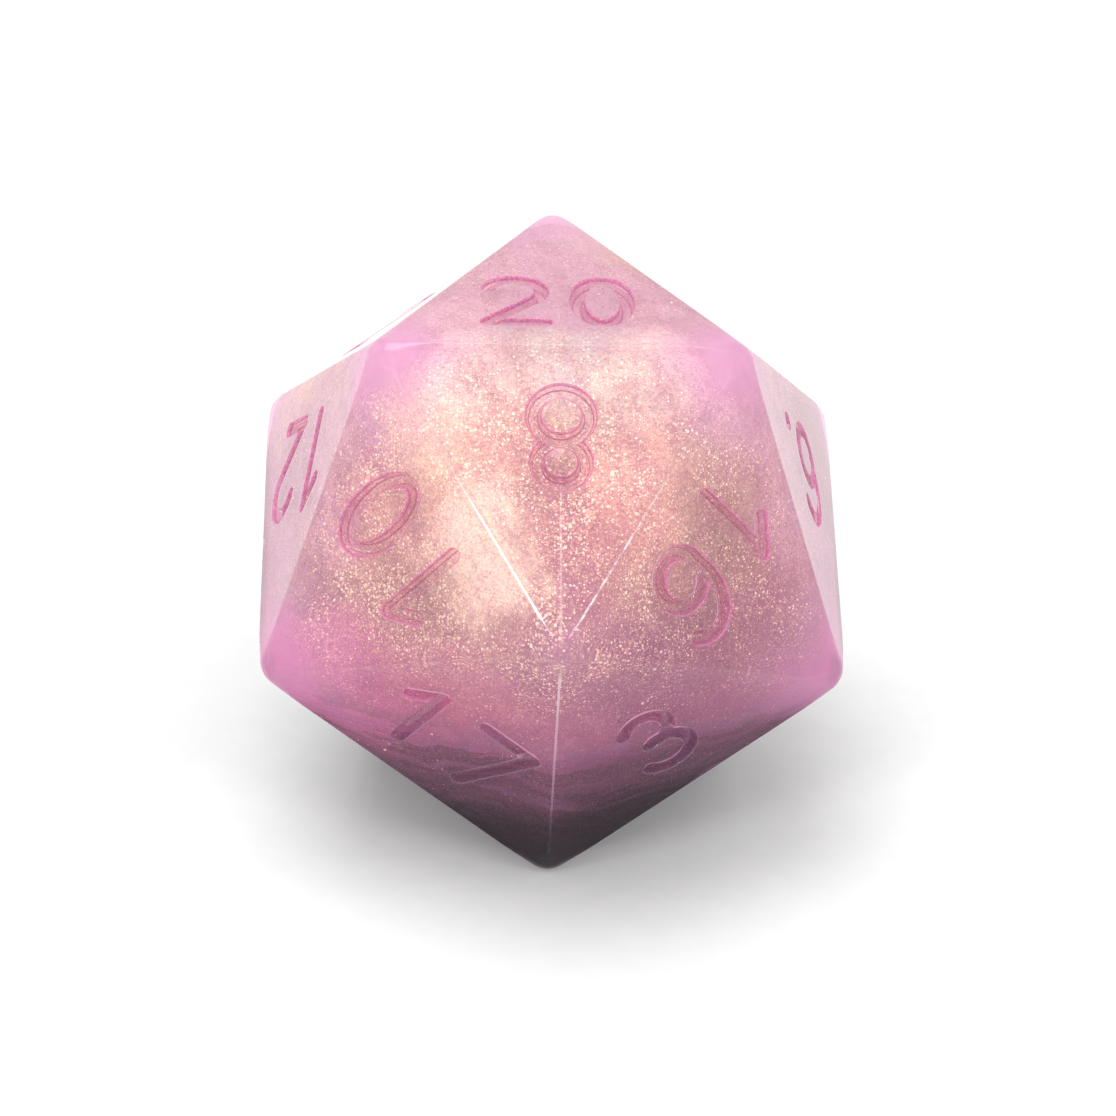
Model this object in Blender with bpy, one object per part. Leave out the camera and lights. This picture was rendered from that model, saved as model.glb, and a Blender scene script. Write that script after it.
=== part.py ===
"""Twenty-sided resin game die with a liquid glitter core.

The die is a regular icosahedron resting on its "1" face, with the "8" face towards -Y and the "20" face on
top. It is cast round a sealed core in three pours: a thin dark base pour, a rose lower pour that seats the
core up to its equator and a rose upper pour over it. The core is a capsule of two half shells, filled
through a hole at the top pole that a resin plug closes, and the liquid in it turns freely. The numerals are
plain recesses with no paint. Units are metres, +Z is up, and the origin is the centre of the bottom face.
"""

import math

import bmesh
import bpy
from mathutils import Vector

# Driving dimensions, in metres.
MM = 0.001
FACE_TO_FACE = 20.0 * MM
CORNER_RADIUS = 1.0 * MM
EDGE_RADIUS = 0.12 * MM
BOND_GAP = 0.1 * MM

CORE_RADIUS = 6.5 * MM
CORE_WALL = 0.6 * MM
LIQUID_GAP = 0.2 * MM
FILL_HOLE_RADIUS = 0.8 * MM
PLUG_GAP = 0.1 * MM
BASE_POUR_HEIGHT = 2.6 * MM

NUMERAL_HEIGHT = 3.5 * MM
NUMERAL_STROKE = 0.5 * MM
NUMERAL_DEPTH = 0.45 * MM
NUMERAL_SPACING = 3.15 * MM
NUMERAL_DROP = 0.3 * MM
DOT_RADIUS = 0.33 * MM
DOTTED_SHIFT = 0.6 * MM
DOT_REACH = 1.65 * MM

RING_STEPS = 24
CORE_STEPS = 24

# Proportions of an icosahedron that rests on a face.
GOLDEN = (1 + math.sqrt(5)) / 2
EDGE = FACE_TO_FACE * math.sqrt(3) / GOLDEN**2
INRADIUS = FACE_TO_FACE / 2
FACE_RING = EDGE / math.sqrt(3)
WAIST_RING = GOLDEN * FACE_RING
WAIST_HEIGHT = (GOLDEN - 1) * EDGE / (2 * math.sqrt(3))

# Corner name: ring radius, azimuth from the front (+ to the right), height from the centre.
CORNERS = {
    "top_back": (FACE_RING, 180, INRADIUS),
    "top_left": (FACE_RING, -60, INRADIUS),
    "top_right": (FACE_RING, 60, INRADIUS),
    "high_front": (WAIST_RING, 0, WAIST_HEIGHT),
    "high_left": (WAIST_RING, -120, WAIST_HEIGHT),
    "high_right": (WAIST_RING, 120, WAIST_HEIGHT),
    "low_left": (WAIST_RING, -60, -WAIST_HEIGHT),
    "low_right": (WAIST_RING, 60, -WAIST_HEIGHT),
    "low_back": (WAIST_RING, 180, -WAIST_HEIGHT),
    "base_front": (FACE_RING, 0, -INRADIUS),
    "base_right": (FACE_RING, 120, -INRADIUS),
    "base_left": (FACE_RING, -120, -INRADIUS),
}

# Face value: its three corners, the first one being the corner that the top of the numeral points to.
FACES = {
    1: ("base_front", "base_right", "base_left"),
    2: ("top_back", "top_left", "high_left"),
    3: ("high_front", "low_right", "base_front"),
    4: ("low_back", "top_back", "high_right"),
    5: ("high_left", "base_left", "low_back"),
    6: ("low_right", "top_right", "high_right"),
    7: ("base_front", "low_left", "base_left"),
    8: ("high_front", "top_left", "top_right"),
    9: ("high_right", "low_right", "base_right"),
    10: ("low_left", "top_left", "high_front"),
    11: ("high_right", "low_back", "base_right"),
    12: ("low_left", "top_left", "high_left"),
    13: ("low_back", "base_right", "base_left"),
    14: ("top_back", "top_right", "high_right"),
    15: ("high_left", "low_left", "base_left"),
    16: ("low_right", "top_right", "high_front"),
    17: ("high_front", "low_left", "base_front"),
    18: ("low_back", "top_back", "high_left"),
    19: ("base_front", "low_right", "base_right"),
    20: ("top_back", "top_left", "top_right"),
}


def corner_point(name):
    """A sharp corner of the icosahedron, measured from the die's centre."""
    ring, azimuth, height = CORNERS[name]
    turn = math.radians(azimuth)
    return Vector((ring * math.sin(turn), -ring * math.cos(turn), height))


def face_normal(value):
    total = Vector()
    for name in FACES[value]:
        total += corner_point(name)
    return total.normalized()


def arc(x, y, radius_x, radius_y, start, end, steps):
    """Points along an elliptical arc, from start to end degrees."""
    points = []
    for index in range(steps + 1):
        turn = math.radians(start + (end - start) * index / steps)
        points.append(Vector((x + radius_x * math.cos(turn), y + radius_y * math.sin(turn))))
    return points


def line(*pairs):
    return [Vector(pair) for pair in pairs]


def ring(x, y, radius_x, radius_y):
    """A closed oval stroke."""
    return ("ring", arc(x, y, radius_x, radius_y, 0, 360, RING_STEPS)[:-1])


def pen(points):
    """An open stroke."""
    return ("pen", points)


def turned(stroke):
    kind, points = stroke
    return (kind, [-point for point in points])


# Stroke centrelines of each digit in units of its height, about its middle. The second list of a digit holds
# the strokes that cross or join the first ones, which are cut after them.
SIX_BOWL = ring(0, -0.21, 0.28, 0.29)
SIX_TAIL = pen(arc(0.07, 0.0, 0.35, 0.5, 204, 42, 14))
DIGITS = {
    "0": ([ring(0, 0, 0.26, 0.5)], []),
    "1": ([pen(line((-0.21, 0.24), (0.06, 0.5), (0.06, -0.5)))], []),
    "2": ([pen(arc(0, 0.22, 0.28, 0.28, 165, -35, 14) + line((-0.29, -0.5), (0.3, -0.5)))], []),
    "3": (
        [pen(arc(0, 0.25, 0.25, 0.25, 150, -90, 14) + line((-0.08, 0)))],
        [pen(arc(0, -0.235, 0.29, 0.265, 94, -150, 14))],
    ),
    "4": (
        [pen(line((0.14, 0.5), (-0.32, -0.2), (0.34, -0.2)))],
        [pen(line((0.14, -0.5), (0.14, 0.46)))],
    ),
    "5": (
        [pen(line((0.26, 0.5), (-0.2, 0.5), (-0.235, 0.05)))],
        [pen(arc(-0.01, -0.18, 0.3, 0.32, 138, -145, 15))],
    ),
    "6": ([SIX_BOWL], [SIX_TAIL]),
    "7": ([pen(line((-0.3, 0.5), (0.3, 0.5), (-0.06, -0.5)))], []),
    "8": ([ring(0, -0.235, 0.285, 0.265)], [ring(0, 0.265, 0.245, 0.235)]),
    "9": ([turned(SIX_BOWL)], [turned(SIX_TAIL)]),
}


def side_of(direction, sign):
    """The unit vector to the right (1) or left (-1) of a direction."""
    return Vector((direction.y, -direction.x)) * sign


def side_points(points, half, sign):
    """One side of a stroke: rounded where the path turns away from it, mitred where it turns towards it."""
    side = []
    for before, here, after in zip(points, points[1:], points[2:]):
        first = (here - before).normalized()
        second = (after - here).normalized()
        turn = math.atan2(first.x * second.y - first.y * second.x, first.dot(second))
        start = side_of(first, sign)
        end = side_of(second, sign)
        if turn * sign > math.radians(40):
            steps = math.ceil(abs(turn) / math.radians(40))
            for index in range(steps + 1):
                bend = turn * index / steps
                side.append(here + half * Vector((
                    start.x * math.cos(bend) - start.y * math.sin(bend),
                    start.x * math.sin(bend) + start.y * math.cos(bend),
                )))
        else:
            side.append(here + (start + end).normalized() * half / math.cos(turn / 2))
    return side


def round_end(centre, direction, half, steps=5):
    """Half a circle round the end of a stroke that leaves in this direction, from its right to its left."""
    start = math.atan2(-direction.x, direction.y)
    points = []
    for index in range(steps + 1):
        turn = start + math.pi * index / steps
        points.append(centre + half * Vector((math.cos(turn), math.sin(turn))))
    return points


def pen_outline(points, half):
    first = (points[0] - points[1]).normalized()
    last = (points[-1] - points[-2]).normalized()
    right = side_points(points, half, 1)
    left = side_points(points, half, -1)
    return round_end(points[0], first, half) + right + round_end(points[-1], last, half) + left[::-1]


def oval_outline(points, half):
    """A closed stroke moved out (or in, if half is negative) along its normals."""
    moved = []
    for index, here in enumerate(points):
        along = points[(index + 1) % len(points)] - points[index - 1]
        moved.append(here + side_of(along.normalized(), 1) * half)
    return moved


def add_prism(bm, place, loops, low, high):
    """Adds a closed prism between two depths: one loop is a solid outline, two are an outline and its hole."""
    levels = []
    for depth in (low, high):
        levels.append([[bm.verts.new(place(point, depth)) for point in loop] for loop in loops])
    bottom, top = levels
    for below, above in zip(bottom, top):
        count = len(below)
        for index in range(count):
            after = (index + 1) % count
            bm.faces.new((below[index], below[after], above[after], above[index]))
    for level in levels:
        if len(loops) == 1:
            bm.faces.new(level[0])
        else:
            outer, inner = level
            count = len(outer)
            for index in range(count):
                after = (index + 1) % count
                bm.faces.new((outer[index], outer[after], inner[after], inner[index]))


def add_stroke(bm, place, stroke):
    kind, points = stroke
    half = NUMERAL_STROKE / 2
    scaled = [point * NUMERAL_HEIGHT for point in points]
    if kind == "ring":
        loops = [oval_outline(scaled, half), oval_outline(scaled, -half)]
    else:
        loops = [pen_outline(scaled, half)]
    add_prism(bm, place, loops, -NUMERAL_DEPTH, NUMERAL_DEPTH)


def face_place(value, shift, drop):
    """A function from a point on the numeral's own plane, and a height over the face, to a place on the die."""
    corners = [corner_point(name) for name in FACES[value]]
    middle = sum(corners, Vector()) / 3
    normal = face_normal(value)
    up = (corners[0] - middle).normalized()
    right = up.cross(normal)

    def place(point, height):
        return middle + right * (point.x + shift) + up * (point.y - drop) + normal * height

    return place


def numeral_mesh(name, layer):
    """The first (0) or second (1) strokes of every numeral, as one mesh of separate closed prisms."""
    bm = bmesh.new()
    for value in FACES:
        text = str(value)
        dotted = value in (6, 9)
        for index, digit in enumerate(text):
            shift = (index - (len(text) - 1) / 2) * NUMERAL_SPACING
            if dotted:
                shift = -DOTTED_SHIFT
            for stroke in DIGITS[digit][layer]:
                add_stroke(bm, face_place(value, shift, NUMERAL_DROP), stroke)
        if dotted and layer == 0:
            low = NUMERAL_DROP + (NUMERAL_HEIGHT + NUMERAL_STROKE) / 2 - DOT_RADIUS
            spot = arc(0, 0, DOT_RADIUS, DOT_RADIUS, 0, 360, 12)[:-1]
            add_prism(bm, face_place(value, DOT_REACH, low), [spot], -NUMERAL_DEPTH, NUMERAL_DEPTH)
    bmesh.ops.recalc_face_normals(bm, faces=bm.faces)
    mesh = bpy.data.meshes.new(name)
    bm.to_mesh(mesh)
    bm.free()
    return mesh


def rounded_points():
    """Points whose hull is the icosahedron with rounded corners and lightly rounded edges."""
    shrink = 1 - CORNER_RADIUS / INRADIUS
    edge_shrink = 1 - EDGE_RADIUS / INRADIUS
    points = []
    for name in CORNERS:
        corner = corner_point(name)
        around = [face_normal(value) for value in FACES if name in FACES[value]]
        heading = corner.normalized()
        aside = (around[0] - heading * around[0].dot(heading)).normalized()
        across = heading.cross(aside)
        around.sort(key=lambda normal: math.atan2(normal.dot(across), normal.dot(aside)))
        middles = [(around[index - 1] + around[index]).normalized() for index in range(5)]
        ball = corner * shrink
        directions = [heading] + around + middles
        directions += [(heading + direction).normalized() for direction in around + middles]
        points += [ball + direction * CORNER_RADIUS for direction in directions]
        for index, middle in enumerate(middles):
            first = around[index - 1]
            second = around[index]
            along = first.cross(second).normalized()
            if along.dot(corner) > 0:
                along = -along
            start = corner * edge_shrink + along * CORNER_RADIUS * 1.5
            points += [start + direction * EDGE_RADIUS for direction in (first, middle, second)]
    return points


def pour_mesh(name, low, high):
    """The rounded icosahedron between two heights from the die's centre."""
    bm = bmesh.new()
    for point in rounded_points():
        bm.verts.new(point)
    hull = bmesh.ops.convex_hull(bm, input=bm.verts)
    spare = [item for item in hull["geom_interior"] if isinstance(item, bmesh.types.BMVert)]
    bmesh.ops.delete(bm, geom=spare, context="VERTS")
    bmesh.ops.dissolve_limit(bm, angle_limit=math.radians(0.2), verts=bm.verts, edges=bm.edges)
    for height, outward in ((low, -1), (high, 1)):
        if abs(height) >= INRADIUS:
            continue
        everything = bm.verts[:] + bm.edges[:] + bm.faces[:]
        cut = bmesh.ops.bisect_plane(
            bm,
            geom=everything,
            plane_co=(0, 0, height),
            plane_no=(0, 0, outward),
            clear_outer=True,
        )
        rim = [item for item in cut["geom_cut"] if isinstance(item, bmesh.types.BMEdge)]
        bmesh.ops.contextual_create(bm, geom=rim)
    bmesh.ops.recalc_face_normals(bm, faces=bm.faces)
    mesh = bpy.data.meshes.new(name)
    bm.to_mesh(mesh)
    bm.free()
    return mesh


def turned_mesh(name, profile):
    """A closed solid turned about Z from a profile of (radius, height) points that runs counter-clockwise."""
    bm = bmesh.new()
    rings = []
    for radius, height in profile:
        if radius == 0:
            rings.append([bm.verts.new((0, 0, height))])
            continue
        circle = []
        for index in range(CORE_STEPS):
            turn = 2 * math.pi * index / CORE_STEPS
            circle.append(bm.verts.new((radius * math.cos(turn), radius * math.sin(turn), height)))
        rings.append(circle)
    pairs = list(zip(rings, rings[1:]))
    if profile[0][0] > 0:
        pairs.append((rings[-1], rings[0]))
    for one, other in pairs:
        for index in range(CORE_STEPS):
            after = (index + 1) % CORE_STEPS
            if len(one) == 1 and len(other) == 1:
                break
            if len(one) == 1:
                bm.faces.new((one[0], other[after], other[index]))
            elif len(other) == 1:
                bm.faces.new((one[index], one[after], other[0]))
            else:
                bm.faces.new((one[index], one[after], other[after], other[index]))
    bmesh.ops.recalc_face_normals(bm, faces=bm.faces)
    for face in bm.faces:
        face.smooth = True
    mesh = bpy.data.meshes.new(name)
    bm.to_mesh(mesh)
    bm.free()
    mesh.set_sharp_from_angle(angle=math.radians(35))
    return mesh


def meridian(radius, start, end):
    """Profile points on a sphere, from start to end degrees of latitude."""
    steps = max(1, round(abs(end - start) / (360 / CORE_STEPS)))
    points = []
    for index in range(steps + 1):
        latitude = start + (end - start) * index / steps
        turn = math.radians(latitude)
        across = 0 if abs(latitude) == 90 else radius * math.cos(turn)
        points.append((across, radius * math.sin(turn)))
    return points


def make_object(name, mesh, parent):
    thing = bpy.data.objects.new(name, mesh)
    bpy.context.scene.collection.objects.link(thing)
    thing.parent = parent
    return thing


def make_cutter(name, mesh, parent):
    cutter = make_object(name, mesh, parent)
    cutter.hide_render = True
    cutter.display_type = "WIRE"
    return cutter


def resin(name, colour, roughness, alpha=1.0):
    material = bpy.data.materials.new(name)
    material.use_nodes = True
    shader = material.node_tree.nodes["Principled BSDF"]
    shader.inputs["Base Color"].default_value = (*colour, 1)
    shader.inputs["Roughness"].default_value = roughness
    shader.inputs["Metallic"].default_value = 0.0
    shader.inputs["Alpha"].default_value = alpha
    return material


def cut_by(thing, cutter):
    cut = thing.modifiers.new(cutter.name, "BOOLEAN")
    cut.operation = "DIFFERENCE"
    cut.solver = "EXACT"
    cut.object = cutter


def build():
    for thing in list(bpy.data.objects):
        bpy.data.objects.remove(thing, do_unlink=True)

    centre = bpy.data.objects.new("die_centre", None)
    centre.empty_display_size = 0.004
    bpy.context.scene.collection.objects.link(centre)
    centre.location = (0, 0, INRADIUS)

    # Cutters: the strokes of the numerals, and the pocket that the core fills in the two rose pours.
    numerals = [
        make_cutter("numeral_strokes", numeral_mesh("numeral_strokes", 0), centre),
        make_cutter("numeral_crossings", numeral_mesh("numeral_crossings", 1), centre),
    ]
    pocket_radius = CORE_RADIUS + BOND_GAP
    pocket = make_cutter(
        "core_pocket", turned_mesh("core_pocket", meridian(pocket_radius, -90, 90)), centre
    )

    # The casting, in the order that it is poured.
    base_top = BASE_POUR_HEIGHT - INRADIUS
    half_gap = BOND_GAP / 2
    pours = (
        ("casting_base_pour", -INRADIUS, base_top - half_gap, (0.045, 0.02, 0.05), numerals),
        ("casting_lower_pour", base_top + half_gap, -half_gap, (0.47, 0.16, 0.3), [pocket, *numerals]),
        ("casting_upper_pour", half_gap, INRADIUS, (0.72, 0.31, 0.41), [pocket, *numerals]),
    )
    for name, low, high, colour, cutters in pours:
        pour = make_object(name, pour_mesh(name, low, high), centre)
        pour.data.materials.append(resin(name, colour, 0.12))
        for cutter in cutters:
            cut_by(pour, cutter)

    # The core: two half shells that meet at the equator, the plug in the fill hole, and the liquid.
    inner = CORE_RADIUS - CORE_WALL
    seam = math.degrees(math.asin(half_gap / inner))
    hole_out = math.degrees(math.acos(FILL_HOLE_RADIUS / CORE_RADIUS))
    hole_in = math.degrees(math.acos(FILL_HOLE_RADIUS / inner))
    lower_shell = meridian(CORE_RADIUS, -90, -seam) + meridian(inner, -seam, -90)
    upper_shell = meridian(CORE_RADIUS, seam, hole_out) + meridian(inner, hole_in, seam)
    plug_radius = FILL_HOLE_RADIUS - PLUG_GAP
    plug_low = math.sqrt(inner**2 - FILL_HOLE_RADIUS**2)
    plug_high = math.sqrt(CORE_RADIUS**2 - FILL_HOLE_RADIUS**2)
    plug = [(0, plug_low), (plug_radius, plug_low), (plug_radius, plug_high), (0, plug_high)]
    liquid = meridian(inner - LIQUID_GAP, -90, 90)
    core = (
        ("core_shell_lower", lower_shell, (0.8, 0.55, 0.6), 0.1, 0.35),
        ("core_shell_upper", upper_shell, (0.8, 0.55, 0.6), 0.1, 0.35),
        ("core_fill_plug", plug, (0.85, 0.65, 0.7), 0.15, 1.0),
        ("core_glitter_liquid", liquid, (0.78, 0.42, 0.24), 0.3, 1.0),
    )
    for name, profile, colour, roughness, alpha in core:
        piece = make_object(name, turned_mesh(name, profile), centre)
        piece.data.materials.append(resin(name, colour, roughness, alpha))


build()
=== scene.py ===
"""Looks for the liquid-core twenty-sided die: one clear rose casting with engraved numerals, a cloud of mica
under its faces, the core's mica in layers, glitter flakes as real pieces, and a soft white studio."""

import math

import bmesh
import bpy
import numpy as np
from mathutils import Matrix, Vector


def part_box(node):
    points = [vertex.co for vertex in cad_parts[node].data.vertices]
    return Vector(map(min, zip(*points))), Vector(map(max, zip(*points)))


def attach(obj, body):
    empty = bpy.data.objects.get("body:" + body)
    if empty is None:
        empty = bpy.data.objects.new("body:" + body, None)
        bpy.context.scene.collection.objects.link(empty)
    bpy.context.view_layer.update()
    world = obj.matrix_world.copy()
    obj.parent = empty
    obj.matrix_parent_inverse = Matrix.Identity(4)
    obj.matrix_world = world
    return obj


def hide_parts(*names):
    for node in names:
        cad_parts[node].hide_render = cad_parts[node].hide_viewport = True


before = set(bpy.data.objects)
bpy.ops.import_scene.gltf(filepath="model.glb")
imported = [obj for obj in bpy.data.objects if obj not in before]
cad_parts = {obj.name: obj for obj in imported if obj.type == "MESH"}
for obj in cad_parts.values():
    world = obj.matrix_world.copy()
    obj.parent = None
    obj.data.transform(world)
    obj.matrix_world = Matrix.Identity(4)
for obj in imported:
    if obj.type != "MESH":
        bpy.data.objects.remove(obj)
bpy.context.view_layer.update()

# ---------------------------------------------------------------- sizes
MM = 0.001
pour_low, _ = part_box("casting_base_pour")
_, pour_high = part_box("casting_upper_pour")
FACE_TO_FACE = pour_high.z - pour_low.z
INRADIUS = FACE_TO_FACE / 2
GOLDEN = (1 + math.sqrt(5)) / 2
EDGE = FACE_TO_FACE * math.sqrt(3) / GOLDEN**2
FACE_RING = EDGE / math.sqrt(3)
WAIST_RING = GOLDEN * FACE_RING
WAIST_HEIGHT = (GOLDEN - 1) * EDGE / (2 * math.sqrt(3))
CENTRE = Vector((0, 0, pour_low.z + INRADIUS))
CORNER_RADIUS = 1.0 * MM
EDGE_RADIUS = 0.12 * MM
liquid_low, liquid_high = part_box("core_glitter_liquid")
LIQUID_RADIUS = (liquid_high.z - liquid_low.z) / 2

NUMERAL_HEIGHT = 3.5 * MM
NUMERAL_STROKE = 0.5 * MM
NUMERAL_DEPTH = 0.45 * MM
NUMERAL_SPACING = 3.15 * MM
NUMERAL_DROP = 0.3 * MM
DOT_RADIUS = 0.33 * MM
DOTTED_SHIFT = 0.6 * MM
DOT_REACH = 1.65 * MM
RING_STEPS = 40
BALL_STEPS = 96
FLOOR_RADIUS = 1.2
# The rounding of an edge widens towards its corners: distance from a corner's ball, against CORNER_RADIUS,
# and radius there, against EDGE_RADIUS.
EDGE_FLARE = ((1.9, 1.0), (1.3, 2.6), (0.95, 4.6))
# The mica cloud under the surface, against the die's size.
VEIL_SIZE = 0.93
# Shares of shadow light that the resin and the mica cloud let straight through.
RESIN_LETS_BY = 0.93
VEIL_LETS_BY = 0.4
# Places of the casting's materials after the first, which is for the polished faces: the bends of the
# numerals, their walls and floors, and the die's rounded edges.
BEND = 1
FLOOR = 2
LONG_EDGE = 3

CORNERS = {
    "top_back": (FACE_RING, 180, INRADIUS),
    "top_left": (FACE_RING, -60, INRADIUS),
    "top_right": (FACE_RING, 60, INRADIUS),
    "high_front": (WAIST_RING, 0, WAIST_HEIGHT),
    "high_left": (WAIST_RING, -120, WAIST_HEIGHT),
    "high_right": (WAIST_RING, 120, WAIST_HEIGHT),
    "low_left": (WAIST_RING, -60, -WAIST_HEIGHT),
    "low_right": (WAIST_RING, 60, -WAIST_HEIGHT),
    "low_back": (WAIST_RING, 180, -WAIST_HEIGHT),
    "base_front": (FACE_RING, 0, -INRADIUS),
    "base_right": (FACE_RING, 120, -INRADIUS),
    "base_left": (FACE_RING, -120, -INRADIUS),
}
FACES = {
    1: ("base_front", "base_right", "base_left"),
    2: ("top_back", "top_left", "high_left"),
    3: ("high_front", "low_right", "base_front"),
    4: ("low_back", "top_back", "high_right"),
    5: ("high_left", "base_left", "low_back"),
    6: ("low_right", "top_right", "high_right"),
    7: ("base_front", "low_left", "base_left"),
    8: ("high_front", "top_left", "top_right"),
    9: ("high_right", "low_right", "base_right"),
    10: ("low_left", "top_left", "high_front"),
    11: ("high_right", "low_back", "base_right"),
    12: ("low_left", "top_left", "high_left"),
    13: ("low_back", "base_right", "base_left"),
    14: ("top_back", "top_right", "high_right"),
    15: ("high_left", "low_left", "base_left"),
    16: ("low_right", "top_right", "high_front"),
    17: ("high_front", "low_left", "base_front"),
    18: ("low_back", "top_back", "high_left"),
    19: ("base_front", "low_right", "base_right"),
    20: ("top_back", "top_left", "top_right"),
}


# ---------------------------------------------------------------- casting mesh
def corner_point(name):
    radius, azimuth, height = CORNERS[name]
    turn = math.radians(azimuth)
    return Vector((radius * math.sin(turn), -radius * math.cos(turn), height))


def face_normal(value):
    return sum((corner_point(name) for name in FACES[value]), Vector()).normalized()


def arc(x, y, radius_x, radius_y, start, end, steps):
    points = []
    for index in range(steps + 1):
        turn = math.radians(start + (end - start) * index / steps)
        points.append(Vector((x + radius_x * math.cos(turn), y + radius_y * math.sin(turn))))
    return points


def line(*pairs):
    return [Vector(pair) for pair in pairs]


def ring(x, y, radius_x, radius_y):
    return ("ring", arc(x, y, radius_x, radius_y, 0, 360, RING_STEPS)[:-1])


def pen(points):
    return ("pen", points)


def turned(stroke):
    kind, points = stroke
    return (kind, [-point for point in points])


SIX_BOWL = ring(0, -0.21, 0.28, 0.29)
SIX_TAIL = pen(arc(0.07, 0.0, 0.35, 0.5, 204, 42, 24))
DIGITS = {
    "0": ([ring(0, 0, 0.26, 0.5)], []),
    "1": ([pen(line((-0.21, 0.24), (0.06, 0.5), (0.06, -0.5)))], []),
    "2": ([pen(arc(0, 0.22, 0.28, 0.28, 165, -35, 24) + line((-0.29, -0.5), (0.3, -0.5)))], []),
    "3": (
        [pen(arc(0, 0.25, 0.25, 0.25, 150, -90, 26) + line((-0.08, 0)))],
        [pen(arc(0, -0.235, 0.29, 0.265, 94, -150, 26))],
    ),
    "4": (
        [pen(line((0.14, 0.5), (-0.32, -0.2), (0.34, -0.2)))],
        [pen(line((0.14, -0.5), (0.14, 0.46)))],
    ),
    "5": (
        [pen(line((0.26, 0.5), (-0.2, 0.5), (-0.235, 0.05)))],
        [pen(arc(-0.01, -0.18, 0.3, 0.32, 138, -145, 26))],
    ),
    "6": ([SIX_BOWL], [SIX_TAIL]),
    "7": ([pen(line((-0.3, 0.5), (0.3, 0.5), (-0.06, -0.5)))], []),
    "8": ([ring(0, -0.235, 0.285, 0.265)], [ring(0, 0.265, 0.245, 0.235)]),
    "9": ([turned(SIX_BOWL)], [turned(SIX_TAIL)]),
}
# How a numeral is cut: height over the face, half width against the nominal half, and the place of the band
# that follows. It bends in from the face, goes down steeply and rounds off to the floor like a U.
RECESS = (
    (0.40 * MM, 0.16 * MM, BEND),
    (0.010 * MM, 0.085 * MM, BEND),
    (-0.004 * MM, 0.045 * MM, BEND),
    (-0.014 * MM, 0.027 * MM, BEND),
    (-0.030 * MM, 0.013 * MM, BEND),
    (-0.055 * MM, 0.004 * MM, BEND),
    (-0.16 * MM, -0.012 * MM, FLOOR),
    (-0.27 * MM, -0.035 * MM, FLOOR),
    (-0.36 * MM, -0.07 * MM, BEND),
    (-0.42 * MM, -0.115 * MM, FLOOR),
    (-0.445 * MM, -0.165 * MM, FLOOR),
    (-NUMERAL_DEPTH, -0.21 * MM, FLOOR),
)


def side_of(direction, sign):
    return Vector((direction.y, -direction.x)) * sign


def side_points(points, half, sign):
    side = []
    for before, here, after in zip(points, points[1:], points[2:]):
        first = (here - before).normalized()
        second = (after - here).normalized()
        turn = math.atan2(first.x * second.y - first.y * second.x, first.dot(second))
        start = side_of(first, sign)
        end = side_of(second, sign)
        if turn * sign > math.radians(40):
            steps = math.ceil(abs(turn) / math.radians(20))
            for index in range(steps + 1):
                bend = turn * index / steps
                side.append(here + half * Vector((
                    start.x * math.cos(bend) - start.y * math.sin(bend),
                    start.x * math.sin(bend) + start.y * math.cos(bend),
                )))
        else:
            side.append(here + (start + end).normalized() * half / math.cos(turn / 2))
    return side


def round_end(centre, direction, half, steps=10):
    start = math.atan2(-direction.x, direction.y)
    points = []
    for index in range(steps + 1):
        turn = start + math.pi * index / steps
        points.append(centre + half * Vector((math.cos(turn), math.sin(turn))))
    return points


def pen_outline(points, half):
    first = (points[0] - points[1]).normalized()
    last = (points[-1] - points[-2]).normalized()
    right = side_points(points, half, 1)
    left = side_points(points, half, -1)
    return round_end(points[0], first, half) + right + round_end(points[-1], last, half) + left[::-1]


def oval_outline(points, half):
    moved = []
    for index, here in enumerate(points):
        along = points[(index + 1) % len(points)] - points[index - 1]
        moved.append(here + side_of(along.normalized(), 1) * half)
    return moved


def add_recess(bm, place, outlines):
    """Adds a closed cutter that follows RECESS. outlines(half) gives one loop, or two round a ring."""
    half = NUMERAL_STROKE / 2
    levels = []
    for height, wider, _ in RECESS:
        loops = outlines(half + wider)
        levels.append([[bm.verts.new(place(point, height)) for point in loop] for loop in loops])
    for above, below, band in zip(levels, levels[1:], RECESS):
        for upper, lower in zip(above, below):
            count = len(upper)
            for index in range(count):
                after = (index + 1) % count
                wall = bm.faces.new((upper[index], upper[after], lower[after], lower[index]))
                wall.material_index = band[2]
    for level in (levels[0], levels[-1]):
        if len(level) == 1:
            bm.faces.new(level[0]).material_index = FLOOR
        else:
            outer, inner = level
            count = len(outer)
            for index in range(count):
                after = (index + 1) % count
                floor = bm.faces.new((outer[index], outer[after], inner[after], inner[index]))
                floor.material_index = FLOOR


def stroke_outlines(stroke):
    kind, points = stroke
    scaled = [point * NUMERAL_HEIGHT for point in points]
    if kind == "ring":
        return lambda half: [oval_outline(scaled, half), oval_outline(scaled, -half)]
    return lambda half: [pen_outline(scaled, half)]


def dot_outlines(half):
    size = DOT_RADIUS + half - NUMERAL_STROKE / 2
    return [arc(0, 0, size, size, 0, 360, 28)[:-1]]


def face_place(value, shift, drop):
    corners = [corner_point(name) for name in FACES[value]]
    middle = sum(corners, Vector()) / 3
    normal = face_normal(value)
    up = (corners[0] - middle).normalized()
    right = up.cross(normal)

    def place(point, height):
        return CENTRE + middle + right * (point.x + shift) + up * (point.y - drop) + normal * height

    return place


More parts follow.
